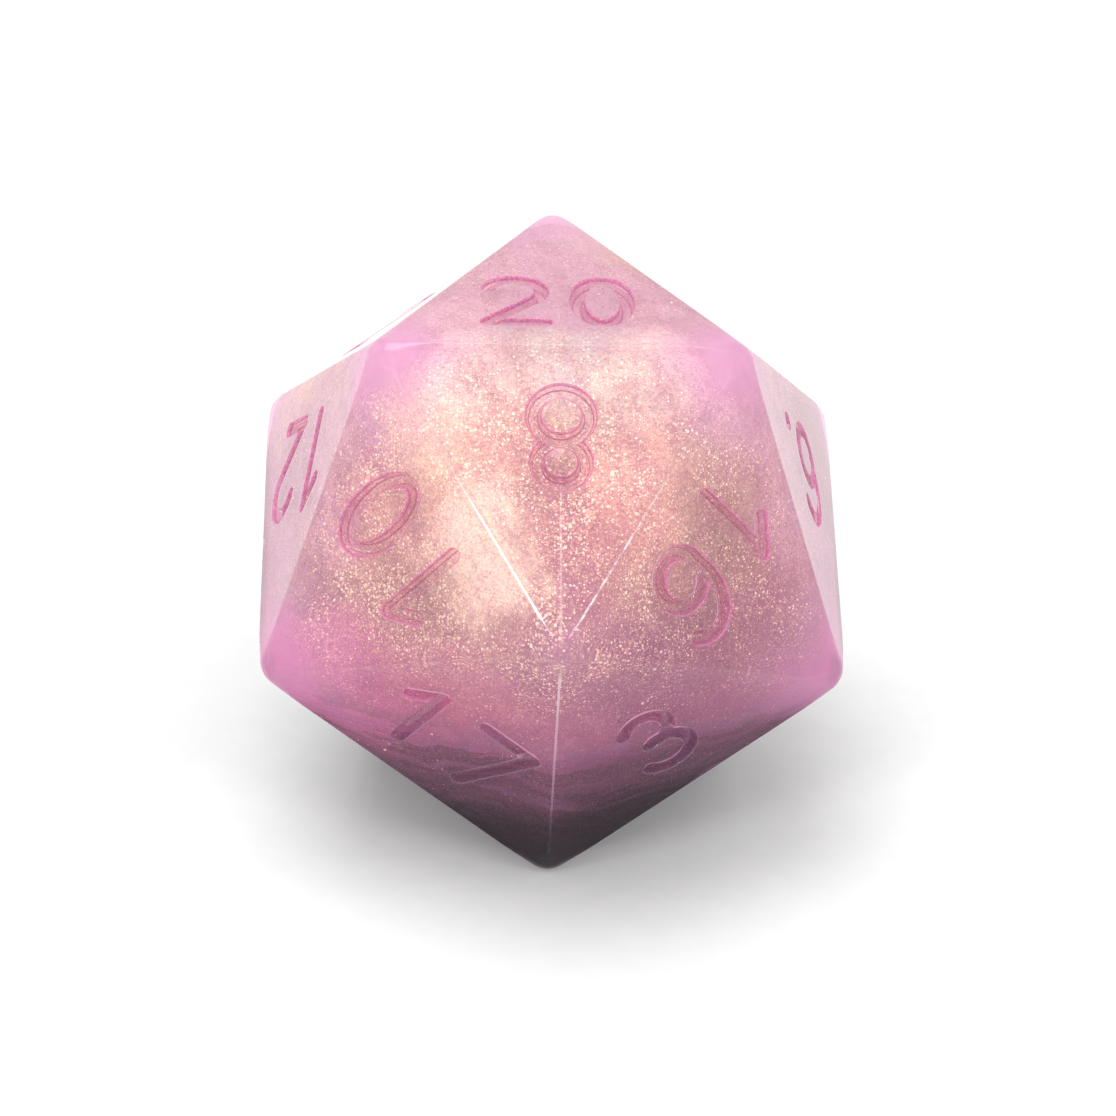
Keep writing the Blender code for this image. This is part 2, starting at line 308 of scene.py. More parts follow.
def numeral_cutter(name, layer, materials):
    bm = bmesh.new()
    for value in FACES:
        text = str(value)
        dotted = value in (6, 9)
        for index, digit in enumerate(text):
            shift = -DOTTED_SHIFT if dotted else (index - (len(text) - 1) / 2) * NUMERAL_SPACING
            for stroke in DIGITS[digit][layer]:
                add_recess(bm, face_place(value, shift, NUMERAL_DROP), stroke_outlines(stroke))
        if dotted and layer == 0:
            low = NUMERAL_DROP + (NUMERAL_HEIGHT + NUMERAL_STROKE) / 2 - DOT_RADIUS
            add_recess(bm, face_place(value, DOT_REACH, low), dot_outlines)
    bmesh.ops.recalc_face_normals(bm, faces=bm.faces)
    for face in bm.faces:
        face.smooth = True
    cutter = link_mesh(name, bm)
    for material in materials:
        cutter.data.materials.append(material)
    return cutter


def rounded_points():
    """Points whose hull is the icosahedron with ball corners and rounded edges."""
    shrink = 1 - CORNER_RADIUS / INRADIUS
    points = []
    for name in CORNERS:
        corner = corner_point(name)
        around = [face_normal(value) for value in FACES if name in FACES[value]]
        outward = corner.normalized()
        aside = (around[0] - outward * around[0].dot(outward)).normalized()
        across = outward.cross(aside)
        around.sort(key=lambda normal: math.atan2(normal.dot(across), normal.dot(aside)))
        directions = [outward]
        for index in range(5):
            first = around[index - 1]
            second = around[index]
            for part in range(6):
                outer = first.slerp(second, part / 6)
                for share in (0.25, 0.5, 0.75, 1.0):
                    directions.append(outward.slerp(outer, share))
            along = first.cross(second).normalized()
            if along.dot(corner) > 0:
                along = -along
            for distance, size in EDGE_FLARE:
                radius = EDGE_RADIUS * size
                back = corner * (1 - radius / INRADIUS)
                start = back + along * (CORNER_RADIUS * distance)
                points += [start + first.slerp(second, part / 5) * radius for part in range(6)]
        ball = corner * shrink
        points += [ball + direction * CORNER_RADIUS for direction in directions]
    return points


def hull_mesh(points):
    """The hull round these points, measured from the die's middle, without the points inside it."""
    bm = bmesh.new()
    for point in points:
        bm.verts.new(CENTRE + point)
    hull = bmesh.ops.convex_hull(bm, input=bm.verts)
    spare = [item for item in hull["geom_interior"] if isinstance(item, bmesh.types.BMVert)]
    bmesh.ops.delete(bm, geom=spare, context="VERTS")
    return bm


def link_mesh(name, bm_or_mesh, material=None, body=None):
    mesh = bm_or_mesh
    if isinstance(bm_or_mesh, bmesh.types.BMesh):
        mesh = bpy.data.meshes.new(name)
        bm_or_mesh.to_mesh(mesh)
        bm_or_mesh.free()
    thing = bpy.data.objects.new(name, mesh)
    bpy.context.scene.collection.objects.link(thing)
    if material:
        mesh.materials.append(material)
    if body:
        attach(thing, body)
    return thing


def applied(thing):
    """Replaces an object's mesh by the result of its modifiers."""
    depsgraph = bpy.context.evaluated_depsgraph_get()
    mesh = bpy.data.meshes.new_from_object(thing.evaluated_get(depsgraph), depsgraph=depsgraph)
    thing.modifiers.clear()
    thing.data = mesh


def casting(materials):
    """The three pours as one piece, with a material for its faces, then BEND, FLOOR and LONG_EDGE."""
    bm = hull_mesh(rounded_points())
    bmesh.ops.dissolve_limit(bm, angle_limit=math.radians(0.2), verts=bm.verts, edges=bm.edges)
    bmesh.ops.recalc_face_normals(bm, faces=bm.faces)
    flats = [face_normal(value) for value in FACES]
    balls = [CENTRE + corner_point(name) * (1 - CORNER_RADIUS / INRADIUS) for name in CORNERS]
    for face in bm.faces:
        face.smooth = True
        bent = max(face.normal.dot(flat) for flat in flats) < 0.9995
        middle = face.calc_center_median()
        near_corner = min((middle - ball).length for ball in balls) < 1.04 * CORNER_RADIUS
        if bent and not near_corner:
            face.material_index = LONG_EDGE
    thing = link_mesh("die_casting", bm)
    for material in materials:
        thing.data.materials.append(material)
    for layer in (0, 1):
        cutter = numeral_cutter(f"numerals_{layer}", layer, materials)
        cut = thing.modifiers.new("numerals", "BOOLEAN")
        cut.operation = "DIFFERENCE"
        cut.solver = "EXACT"
        cut.object = cutter
        bpy.context.view_layer.update()
        applied(thing)
        bpy.data.objects.remove(cutter)
    thing.data.set_sharp_from_angle(angle=math.radians(28))
    weigh = thing.modifiers.new("weigh", "WEIGHTED_NORMAL")
    weigh.mode = "FACE_AREA"
    weigh.weight = 100
    weigh.keep_sharp = True
    bpy.context.view_layer.update()
    applied(thing)
    return thing


# ---------------------------------------------------------------- material helpers
class Nodes:
    """A short way to write a material's node tree."""

    def __init__(self, name):
        self.material = bpy.data.materials.new(name)
        self.material.use_nodes = True
        self.tree = self.material.node_tree
        self.tree.nodes.clear()
        self.output = self.tree.nodes.new("ShaderNodeOutputMaterial")

    def add(self, kind, **inputs):
        node = self.tree.nodes.new(kind)
        for key, value in inputs.items():
            self.set(node, key, value)
        return node

    def set(self, node, key, value):
        names = {socket.name.replace(" ", "_"): socket for socket in node.inputs}
        socket = node.inputs[int(key[1:])] if key[0] == "i" and key[1:].isdigit() else names[key]
        if isinstance(value, bpy.types.NodeSocket):
            self.tree.links.new(value, socket)
        elif isinstance(value, (tuple, list)) and len(value) == 3 and socket.type == "RGBA":
            socket.default_value = (*value, 1)
        else:
            socket.default_value = value

    def math(self, operation, one, other=0.0, third=0.0, clamp=False):
        node = self.tree.nodes.new("ShaderNodeMath")
        node.operation = operation
        node.use_clamp = clamp
        for index, value in enumerate((one, other, third)):
            if isinstance(value, bpy.types.NodeSocket):
                self.tree.links.new(value, node.inputs[index])
            else:
                node.inputs[index].default_value = value
        return node.outputs[0]

    def times(self, one, other):
        return self.math("MULTIPLY", one, other)

    def axis(self, vector, name):
        return self.add("ShaderNodeSeparateXYZ", Vector=vector).outputs[name]

    def vector(self, operation, one, other=(0, 0, 0), scale=None):
        node = self.tree.nodes.new("ShaderNodeVectorMath")
        node.operation = operation
        for index, value in enumerate((one, other)):
            if isinstance(value, bpy.types.NodeSocket):
                self.tree.links.new(value, node.inputs[index])
            else:
                node.inputs[index].default_value = value
        if scale is not None:
            self.set(node, "Scale", scale)
        return node.outputs["Value" if operation in ("DOT_PRODUCT", "LENGTH") else "Vector"]

    def ramp(self, value, low, high, low_out=0.0, high_out=1.0, smooth=True):
        node = self.tree.nodes.new("ShaderNodeMapRange")
        node.interpolation_type = "SMOOTHSTEP" if smooth else "LINEAR"
        self.tree.links.new(value, node.inputs["Value"])
        node.inputs["From Min"].default_value = low
        node.inputs["From Max"].default_value = high
        node.inputs["To Min"].default_value = low_out
        node.inputs["To Max"].default_value = high_out
        return node.outputs["Result"]

    def mix(self, share, one, other):
        node = self.tree.nodes.new("ShaderNodeMix")
        node.data_type = "RGBA"
        for name, value in (("Factor", share), ("A", one), ("B", other)):
            socket = next(s for s in node.inputs if s.name == name and s.type in
                          (("VALUE",) if name == "Factor" else ("RGBA",)))
            if isinstance(value, bpy.types.NodeSocket):
                self.tree.links.new(value, socket)
            elif isinstance(value, (int, float)):
                socket.default_value = value
            else:
                socket.default_value = (*value, 1)
        return next(s for s in node.outputs if s.type == "RGBA")

    def noise(self, vector, scale, detail=3.0, roughness=0.55, distortion=0.0, colour=False):
        node = self.add("ShaderNodeTexNoise", Vector=vector, Scale=scale, Detail=detail,
                        Roughness=roughness, Distortion=distortion)
        return node.outputs["Color" if colour else "Fac"]

    def place(self):
        """The piece's own coordinates, measured from the core's centre in units of the die's half width."""
        own = self.add("ShaderNodeTexCoord").outputs["Object"]
        moved = self.vector("SUBTRACT", own, tuple(CENTRE))
        return self.vector("SCALE", moved, scale=1 / INRADIUS)

    def shade(self, shader):
        self.tree.links.new(shader, self.output.inputs["Surface"])
        return self.material

    def blend(self, share, one, other):
        node = self.tree.nodes.new("ShaderNodeMixShader")
        if isinstance(share, bpy.types.NodeSocket):
            self.tree.links.new(share, node.inputs[0])
        else:
            node.inputs[0].default_value = share
        self.tree.links.new(one, node.inputs[1])
        self.tree.links.new(other, node.inputs[2])
        return node.outputs[0]


def heading(azimuth, elevation):
    """Unit direction from an azimuth (from the front, + to the right) and an elevation in degrees."""
    a, e = math.radians(azimuth), math.radians(elevation)
    return (math.sin(a) * math.cos(e), -math.cos(a) * math.cos(e), math.sin(e))


# ---------------------------------------------------------------- resin
BLUSH = (0.99, 0.97, 0.955)
ROSE = (0.86, 0.52, 0.72)
INK = (0.13, 0.04, 0.10)
SMOKE = (0.034, 0.008, 0.026)


def drifting(n, p):
    """Noise fields the resin's colours share: the height, a cloud, level streaks and the ink's height."""
    axes = n.add("ShaderNodeSeparateXYZ", Vector=p).outputs
    drift = n.vector("SUBTRACT", n.noise(p, 1.6, 3.0, colour=True), (0.5, 0.5, 0.5))
    q = n.vector("ADD", p, n.vector("SCALE", drift, scale=0.35))
    cloud = n.noise(q, 2.3, 5.0, 0.6)
    streaks = n.noise(n.vector("MULTIPLY", q, (0.7, 0.7, 7.0)), 2.4, 5.0, 0.6)
    # The ink lies a little higher on the right.
    tilted = n.math("MULTIPLY_ADD", axes["X"], -0.13, axes["Z"])
    ink = n.math("MULTIPLY_ADD", n.math("SUBTRACT", streaks, 0.5), 0.4, tilted)
    return axes["Z"], cloud, streaks, ink


def inside_wall(n, radius, ink):
    """The far wall seen from inside the resin: milky, lit from behind, and painted brightest in the corners
    as painted light.
    """
    glow = n.mix(n.ramp(ink, 0.25, -0.05), (0.94, 0.64, 0.74), (0.90, 0.50, 0.68))
    glow = n.mix(n.ramp(ink, -0.35, -0.65), glow, (0.34, 0.10, 0.24))
    # Painted light: the corners of the wall are painted paler.
    glow = n.mix(n.ramp(radius, 1.06, 1.14), glow, (0.98, 0.66, 0.84))
    glow = n.mix(n.ramp(ink, -0.65, -0.85), glow, SMOKE)
    far = n.add("ShaderNodeBsdfTranslucent", Color=glow)
    near = n.add("ShaderNodeBsdfDiffuse", Color=glow)
    return n.blend(0.35, far.outputs[0], near.outputs[0])


def sided(n, front, behind):
    """Front from outside, behind from inside, and most light straight through for shadows."""
    backface = n.add("ShaderNodeNewGeometry").outputs["Backfacing"]
    through = n.add("ShaderNodeBsdfTransparent", Color=(0.93, 0.90, 0.915))
    shadow = n.add("ShaderNodeLightPath").outputs["Is Shadow Ray"]
    seen = n.blend(backface, front, behind)
    return n.shade(n.blend(n.times(shadow, RESIN_LETS_BY), seen, through.outputs[0]))


def resin_body(n, radius, height, cloud, ink):
    """The resin's tint: blush, rosier at the corners and below, then inky, then black in the base pour."""
    corner = n.ramp(radius, 1.06, 1.2)
    body = n.mix(n.ramp(cloud, 0.3, 0.7, 0.0, 0.2), BLUSH, ROSE)
    body = n.mix(n.times(corner, 0.8), body, ROSE)
    body = n.mix(n.ramp(height, 0.1, -0.25, 0.0, 0.6), body, (0.80, 0.36, 0.62))
    tip = n.mix(n.ramp(height, 0.1, -0.2), ROSE, (0.68, 0.29, 0.49))
    body = n.mix(n.ramp(radius, 1.12, 1.22), body, tip)
    body = n.mix(n.ramp(ink, -0.55, -0.74), body, INK)
    return n.mix(n.ramp(ink, -0.72, -0.9), body, SMOKE)


def reach(n, p):
    """Distance from the middle. The front corner counts as a face, being as full of mica as they are."""
    front = n.vector("DOT_PRODUCT", n.vector("NORMALIZE", p), heading(0, 10.8))
    return n.math("SUBTRACT", n.vector("LENGTH", p), n.ramp(front, 0.9, 0.98, 0.0, 0.12))


def clearness(n, radius, height):
    """How clear the resin is: clearest on the faces and in the ink, and milky at the tips of the corners."""
    clear = n.math("MAXIMUM", n.ramp(radius, 1.04, 1.2, 0.94, 0.76), n.ramp(height, 0.0, -0.4, 0.5, 0.97))
    tip = n.times(n.ramp(radius, 1.12, 1.23, 0.0, 0.34), n.ramp(height, -0.5, -0.3))
    return n.math("SUBTRACT", clear, n.times(tip, n.ramp(height, 0.2, 0.5, 1.0, 0.5)))


def clear_rose():
    """Polished clear resin, with the finest scratches."""
    n = Nodes("rose_resin")
    p = n.place()
    radius = reach(n, p)
    height, cloud, _, ink = drifting(n, p)
    body = resin_body(n, radius, height, cloud, ink)
    scratches = n.noise(n.vector("MULTIPLY", p, (1, 1, 5)), 26.0, 4.0, 0.7)
    rough = n.ramp(scratches, 0.3, 0.8, 0.02, 0.07)
    bump = n.add("ShaderNodeBump", Strength=0.02, Distance=0.0001, Height=n.noise(p, 9.0, 3.0))
    front = n.add("ShaderNodeBsdfPrincipled", Base_Color=body, Roughness=rough, IOR=1.5,
                  Specular_Tint=(1.0, 0.66, 0.86), Transmission_Weight=clearness(n, radius, height),
                  Normal=bump.outputs["Normal"])
    return sided(n, front.outputs[0], inside_wall(n, radius, ink))


def cut_rose(name, painted_shade, rough, milky):
    """The resin inside the numerals' recesses: rougher than the faces, a little milky, and painted a deeper
    pink as painted shade.
    """
    n = Nodes(name)
    p = n.place()
    radius = reach(n, p)
    height, cloud, _, ink = drifting(n, p)
    grit = n.noise(p, 120.0, 2.0)
    low = n.ramp(height, -0.1, -0.35)
    body = resin_body(n, radius, height, cloud, ink)
    # Painted shade: the recesses are painted a deeper pink than the faces round them.
    pink = n.mix(n.ramp(grit, 0.3, 0.7, 0.8 * painted_shade, 1.2 * painted_shade), body, (0.72, 0.13, 0.38))
    # Below the middle the recesses lose the painted pink shade for a painted mauve shade, which goes down to
    # black with the ink.
    pale = n.mix(n.ramp(ink, -0.5, -0.8), (0.46, 0.22, 0.38), (0.07, 0.04, 0.07))
    pink = n.mix(low, pink, n.mix(0.6, body, pale))
    clear = n.math("SUBTRACT", clearness(n, radius, height), n.ramp(low, 0.0, 1.0, milky, 0.16))
    bump = n.add("ShaderNodeBump", Strength=0.15, Distance=0.00002, Height=grit)
    front = n.add("ShaderNodeBsdfPrincipled", Base_Color=pink, Roughness=rough, IOR=1.5,
                  Transmission_Weight=clear, Normal=bump.outputs["Normal"])
    return sided(n, front.outputs[0], inside_wall(n, radius, ink))


def off_edge(n, p, high):
    """Distance from the line of the edge that runs up from the front corner to this one."""
    start = corner_point("high_front")
    along = (corner_point(high) - start).normalized()
    offset = n.vector("SUBTRACT", p, tuple(start / INRADIUS))
    return n.vector("LENGTH", n.vector("CROSS_PRODUCT", offset, tuple(along)))


def edge_rose():
    """The rounded edges, with painted highlights: pale lines painted on them, most of all on the two that
    run up from the front corner.
    """
    n = Nodes("rose_resin_edge")
    p = n.place()
    radius = reach(n, p)
    height, cloud, _, ink = drifting(n, p)
    corner = corner_point("high_front") / INRADIUS
    away = n.vector("LENGTH", n.vector("SUBTRACT", p, tuple(corner)))
    side = n.axis(p, "X")
    # Painted highlights: the edges are painted pale where the lamps' glints would run, on the two edges up
    # from the front corner, broken up by noise.
    rising_highlight = n.times(n.ramp(away, 0.85, 0.4), n.ramp(height, corner.z + 0.02, corner.z + 0.08))
    broken_highlight = n.ramp(n.noise(p, 24.0, 3.0, 0.7), 0.42, 0.56, 0.05, 0.5)
    rising_highlight = n.times(rising_highlight, n.math("MAXIMUM", broken_highlight, n.ramp(side, -0.02, 0.02, 0.85, 0.0)))
    off_line = n.math("MINIMUM", off_edge(n, p, "top_left"), off_edge(n, p, "top_right"))
    rising_highlight = n.times(rising_highlight, n.ramp(off_line, 0.0065, 0.0045))
    # A thin painted highlight along the edges in the middle plane, such as the one down from the front
    # corner, fainter low down.
    thin = n.ramp(n.math("ABSOLUTE", side), 0.0075, 0.0045)
    falling_highlight = n.times(thin, n.ramp(height, -0.9, 0.1, 0.08, 0.32))
    white = n.math("MAXIMUM", n.times(rising_highlight, n.ramp(away, 0.07, 0.13)), falling_highlight)
    body = n.mix(white, resin_body(n, radius, height, cloud, ink), (1.0, 0.96, 0.97))
    clear = n.times(clearness(n, radius, height), n.ramp(white, 0.0, 1.0, 1.0, 0.0, smooth=False))
    front = n.add("ShaderNodeBsdfPrincipled", Base_Color=body, Roughness=0.2, IOR=1.5,
                  Transmission_Weight=clear)
    return sided(n, front.outputs[0], inside_wall(n, radius, ink))


# Patches of mica, by azimuth from the front, elevation and half width in degrees, with colour and strength.
GOLD = (0.86, 0.74, 0.50)
CREAM = (0.86, 0.84, 0.73)
SALMON = (0.50, 0.26, 0.24)
OLIVE = (0.36, 0.23, 0.19)
PINK = (0.64, 0.40, 0.50)
LILAC = (0.60, 0.40, 0.50)
VEIL_PATCHES = (
    (-57, 42, 9, PINK, 0.9),
    (-49, 43, 8, (0.46, 0.25, 0.42), 0.7),
    (-57, 20, 8, PINK, 0.8),
    (57, 42, 9, PINK, 0.9),
    (57, 18, 8, PINK, 0.8),
    (-38, 46, 10, GOLD, 0.6),
    (-30, 38, 9, GOLD, 0.6),
    (-15, 27, 12, (0.98, 0.96, 0.72), 0.95),
    (-8, 20, 6, (0.98, 0.96, 0.72), 0.85),
    (-30, 63, 11, CREAM, 0.5),
    (30, 63, 11, CREAM, 0.5),
    (0, 65, 10, CREAM, 0.5),
    (-34, 74, 7, (0.52, 0.50, 0.49), 0.7),
    (34, 74, 7, (0.52, 0.50, 0.49), 0.7),
    (0, 74, 9, (0.52, 0.50, 0.49), 0.8),
    (0, 63, 5, (0.66, 0.68, 0.66), 0.6),
    (0, 82, 5, (0.46, 0.31, 0.40), 0.7),
    (4, 33, 11, SALMON, 0.7),
    (22, 38, 12, (0.80, 0.48, 0.40), 0.6),
    (-16, 46, 10, (0.62, 0.36, 0.32), 0.7),
    (-42, 27, 11, (0.66, 0.40, 0.36), 0.6),
    (-36, 8, 12, OLIVE, 0.5),
    (42, 30, 12, OLIVE, 0.55),
    (40, 10, 14, (0.30, 0.14, 0.15), 0.7),
    (18, 8, 11, (0.33, 0.14, 0.20), 0.7),
    (24, 22, 6, (0.62, 0.36, 0.31), 0.5),
    (-30, -10, 9, (0.55, 0.27, 0.29), 0.5),
    (180, 68, 20, LILAC, 0.9),
    (100, 74, 16, LILAC, 0.9),
    (-100, 74, 16, LILAC, 0.9),
    (0, 89, 12, LILAC, 0.9),
    (-85, 18, 24, (0.66, 0.45, 0.60), 0.85),
    (85, 18, 24, (0.66, 0.45, 0.60), 0.85),
    (3, 24, 7, (0.42, 0.18, 0.25), 0.85),
    (-2, 36, 8, (0.44, 0.19, 0.26), 0.6),
    (16, 30, 8, (0.60, 0.30, 0.28), 0.5),
    (48, -4, 14, (0.33, 0.13, 0.24), 0.6),
    (22, -5, 14, (0.25, 0.08, 0.20), 0.8),
    (34, 4, 9, (0.30, 0.12, 0.17), 0.5),
    (2, 5, 10, (0.34, 0.13, 0.25), 0.85),
    (2, 16, 5, (0.42, 0.18, 0.28), 0.7),
    (-45, -14, 16, (0.66, 0.26, 0.46), 0.8),
    (-20, -8, 12, (0.58, 0.28, 0.36), 0.7),
    (150, 34, 24, GOLD, 0.7),
    (-125, 28, 20, GOLD, 0.6),
    (105, 12, 18, OLIVE, 0.5),
)
CORE_PATCHES = (
    (-20, 19, 22, GOLD, 0.9),
    (-42, 30, 20, GOLD, 0.8),
    (30, 30, 22, (0.95, 0.57, 0.48), 0.7),
    (40, 5, 22, (0.30, 0.14, 0.14), 0.7),
    (-60, 2, 18, OLIVE, 0.5),
    (0, 75, 22, (0.40, 0.22, 0.34), 0.7),
    (150, 15, 26, GOLD, 0.7),
    (-140, 10, 24, (0.30, 0.14, 0.16), 0.6),
)


def bent_aim(n, p, warp, amount):
    """The direction from the middle, bent this much by a warp, so that patches get cloudy outlines."""
    moved = n.vector("ADD", n.vector("NORMALIZE", p), n.vector("SCALE", warp, scale=amount))
    return n.vector("NORMALIZE", moved)


def patched(n, colour, bent, patches):
    """Lays soft round patches over a colour, by the direction that they lie in."""
    for azimuth, elevation, half, patch, strength in patches:
        near = n.vector("DOT_PRODUCT", bent, heading(azimuth, elevation))
        outside, inside = math.cos(math.radians(half * 1.5)), math.cos(math.radians(half * 0.4))
        mask = n.ramp(near, outside, inside, 0.0, strength)
        colour = n.mix(mask, colour, patch)
    return colour


def grained(n, colour, where, scale, amount, dark=0.4):
    """Single flakes: each cell takes its own tone, from dark rose to pale gold."""
    cells = n.add("ShaderNodeTexVoronoi", Vector=where, Scale=scale)
    tone = n.axis(cells.outputs["Color"], "X")
    colour = n.mix(n.ramp(tone, 0.5, 0.0, 0.0, dark), colour, (0.42, 0.18, 0.23))
    bright = n.ramp(tone, 0.6, 1.0)
    return n.mix(n.times(bright, amount), colour, (1.0, 0.86, 0.52))


def sparkling(n, colour, where, scale, amount, largest):
    """Scattered round painted glints of many sizes: real flakes, painted as bright as their glints. Up to
    this share of a cell, smaller where the amount is low.
    """
    cells = n.add("ShaderNodeTexVoronoi", Vector=where, Scale=scale)
    own = n.add("ShaderNodeSeparateXYZ", Vector=cells.outputs["Color"])
    size = n.times(n.times(own.outputs["X"], largest), n.math("MULTIPLY_ADD", amount, 0.7, 0.3))
    lit = n.ramp(n.math("SUBTRACT", size, cells.outputs["Distance"]), 0.0, 0.06)
    glint = n.mix(n.ramp(own.outputs["Y"], 0.8, 1.0), (1.0, 1.0, 0.74), (1.0, 0.70, 0.45))
    return n.mix(n.times(lit, n.ramp(amount, 0.0, 0.3, 0.25, 1.0)), colour, glint)


def veil_resin(size):
    """The cloud of mica just under the surface: gold and peach above, rose at the corners, ink below."""
    n = Nodes("mica_veil")
    p = n.vector("SCALE", n.place(), scale=1 / size)
    radius = n.vector("LENGTH", p)
    height, cloud, streaks, ink = drifting(n, p)
    warp = n.vector("SUBTRACT", n.noise(p, 4.0, 5.0, 0.65, colour=True), (0.5, 0.5, 0.5))
    bent = bent_aim(n, p, warp, 0.3)
    wisps = n.noise(n.vector("ADD", p, n.vector("SCALE", warp, scale=0.7)), 3.4, 7.0, 0.7)
    colour = n.mix(n.ramp(wisps, 0.36, 0.64), (0.46, 0.27, 0.29), (0.66, 0.50, 0.38))
    rise = n.axis(bent, "Z")
    below = n.mix(n.ramp(wisps, 0.35, 0.65), (0.38, 0.16, 0.27), (0.54, 0.28, 0.37))
    colour = n.mix(n.ramp(rise, 0.22, -0.02), colour, below)
    # The pearl flows in streaks down from the top left corner to the front one.
    along = (corner_point("top_left") - corner_point("high_front")).normalized()
    pull = n.vector("SCALE", tuple(along), scale=n.times(n.vector("DOT_PRODUCT", p, tuple(along)), -6.5))
    flow = n.noise(n.vector("ADD", n.vector("SCALE", p, scale=8.0), pull), 1.0, 5.0, 0.65)
    upper = n.ramp(rise, 0.05, 0.25)
    colour = n.mix(n.times(n.ramp(flow, 0.52, 0.66, 0.0, 0.5), upper), colour, (0.90, 0.80, 0.58))
    corner = n.ramp(reach(n, p), 1.09, 1.17)
    low_corner = n.ramp(rise, 0.12, -0.15)
    rose = n.mix(low_corner, n.mix(cloud, (0.50, 0.27, 0.42), (0.62, 0.40, 0.52)), (0.66, 0.27, 0.48))
    colour = n.mix(n.times(corner, 0.9), colour, rose)
    colour = patched(n, colour, bent, VEIL_PATCHES)
    shade = n.times(n.ramp(flow, 0.48, 0.36, 0.0, 0.45), upper)
    colour = n.mix(shade, colour, (0.44, 0.20, 0.27))
    colour = n.mix(n.ramp(ink, -0.27, -0.64, 0.0, 0.88), colour, (0.165, 0.045, 0.15))
    sinking = n.ramp(height, -0.2, -0.5)
    colour = n.mix(n.times(n.ramp(streaks, 0.49, 0.54, 0.0, 0.85), sinking), colour, (0.095, 0.022, 0.095))
    colour = n.mix(n.times(n.ramp(streaks, 0.46, 0.41, 0.0, 0.7), sinking), colour, (0.36, 0.20, 0.42))
    colour = n.mix(n.ramp(ink, -0.68, -0.84), colour, SMOKE)
    gold = n.times(n.ramp(rise, -0.5, 0.2, 0.22, 1.0), n.ramp(reach(n, p), 1.13, 1.22, 1.0, 0.2))
    gold = n.times(gold, n.ramp(n.noise(p, 6.0, 4.0, 0.6), 0.38, 0.6, 0.6, 1.15))
    right = n.ramp(n.axis(p, "X"), 0.1, 0.6, 1.0, 0.7)
    gold = n.times(gold, right)
    gold = n.times(gold, n.ramp(rise, 0.94, 0.99, 1.0, 0.3))
    forward = n.vector("DOT_PRODUCT", bent, heading(0, 10))
    gold = n.times(gold, n.ramp(forward, 0.35, 0.6, 0.35, 1.0))
    # A fine pale line is painted running up from the front corner: a painted image of the front edge seen in
    # the resin.
    line_up = n.math("ABSOLUTE", n.axis(p, "X"))
    line_up = n.times(n.ramp(line_up, 0.006, 0.002, 0.0, 0.65), n.ramp(forward, 0.84, 0.9))
    colour = n.mix(n.times(line_up, n.ramp(rise, 0.15, 0.25)), colour, (0.85, 0.68, 0.74))
    colour = grained(n, colour, p, 95.0, n.times(gold, 0.3), 0.3)
    colour = grained(n, colour, p, 170.0, n.times(gold, 0.5), 0.4)
    # Painted glints over the mica.
    colour = sparkling(n, colour, p, 100.0, gold, 0.46)
    colour = sparkling(n, colour, p, 56.0, gold, 0.42)
    # A cloud has no facets, so its light falls off round the middle of the die and not by face.
    round_out = n.tree.nodes.new("ShaderNodeVectorTransform")
    round_out.vector_type = "NORMAL"
    round_out.convert_from = "OBJECT"
    round_out.convert_to = "WORLD"
    n.set(round_out, "Vector", n.vector("NORMALIZE", p))
    facet = n.add("ShaderNodeNewGeometry").outputs["True Normal"]
    soft = n.vector("ADD", n.vector("SCALE", round_out.outputs["Vector"], scale=2.2), facet)
    bump = n.add("ShaderNodeBump", Strength=0.3, Distance=0.0006, Height=wisps,
                 Normal=n.vector("NORMALIZE", soft))
    alpha = n.math("MAXIMUM", n.ramp(wisps, 0.3, 0.55, 0.82, 0.98), corner)
    layer = n.add("ShaderNodeBsdfPrincipled", Base_Color=colour, Roughness=0.5, Metallic=0.15, Alpha=alpha,
                  Normal=bump.outputs["Normal"])
    # Some light comes through the cloud, so the die's shadow on the table is pale.
    through = n.add("ShaderNodeBsdfTransparent", Color=(0.95, 0.90, 0.92))
    shadow = n.add("ShaderNodeLightPath").outputs["Is Shadow Ray"]
    return n.shade(n.blend(n.times(shadow, VEIL_LETS_BY), layer.outputs[0], through.outputs[0]))


def mica(name, seed, thin, thick):
    """One layer of the core's liquid: cloudy, from thin to thick, with a pearly sheen."""
    n = Nodes(name)
    p = n.place()
    shifted = n.vector("ADD", p, (seed * 3.7, seed * 1.3, seed * 2.1))
    warp = n.vector("SUBTRACT", n.noise(shifted, 2.6, 4.0, 0.6, colour=True), (0.5, 0.5, 0.5))
    bent = bent_aim(n, p, warp, 0.6)
    height = n.axis(bent, "Z")
    cloud = n.noise(n.vector("ADD", shifted, n.vector("SCALE", warp, scale=0.6)), 5.0, 6.0, 0.65)
    colour = n.mix(n.ramp(height, 0.1, 0.7), (0.66, 0.33, 0.27), (0.86, 0.56, 0.47))
    colour = n.mix(n.ramp(cloud, 0.42, 0.62), colour, (0.92, 0.66, 0.50))
    colour = n.mix(n.times(n.ramp(cloud, 0.5, 0.34), 0.6), colour, (0.45, 0.18, 0.22))
    colour = n.mix(n.ramp(height, 0.08, -0.25, 0.0, 0.85), colour, (0.36, 0.15, 0.24))
    colour = n.mix(n.ramp(height, -0.25, -0.75, 0.0, 0.9), colour, (0.08, 0.035, 0.07))
    colour = patched(n, colour, bent, CORE_PATCHES)
    colour = grained(n, colour, shifted, 85.0, 0.6)
    layer = n.add("ShaderNodeBsdfPrincipled", Base_Color=colour, Roughness=0.45, Metallic=0.2)
    if thin < 1:
        n.set(layer, "Alpha", n.ramp(cloud, 0.35, 0.62, thin, thick))
    return n.shade(layer.outputs[0])


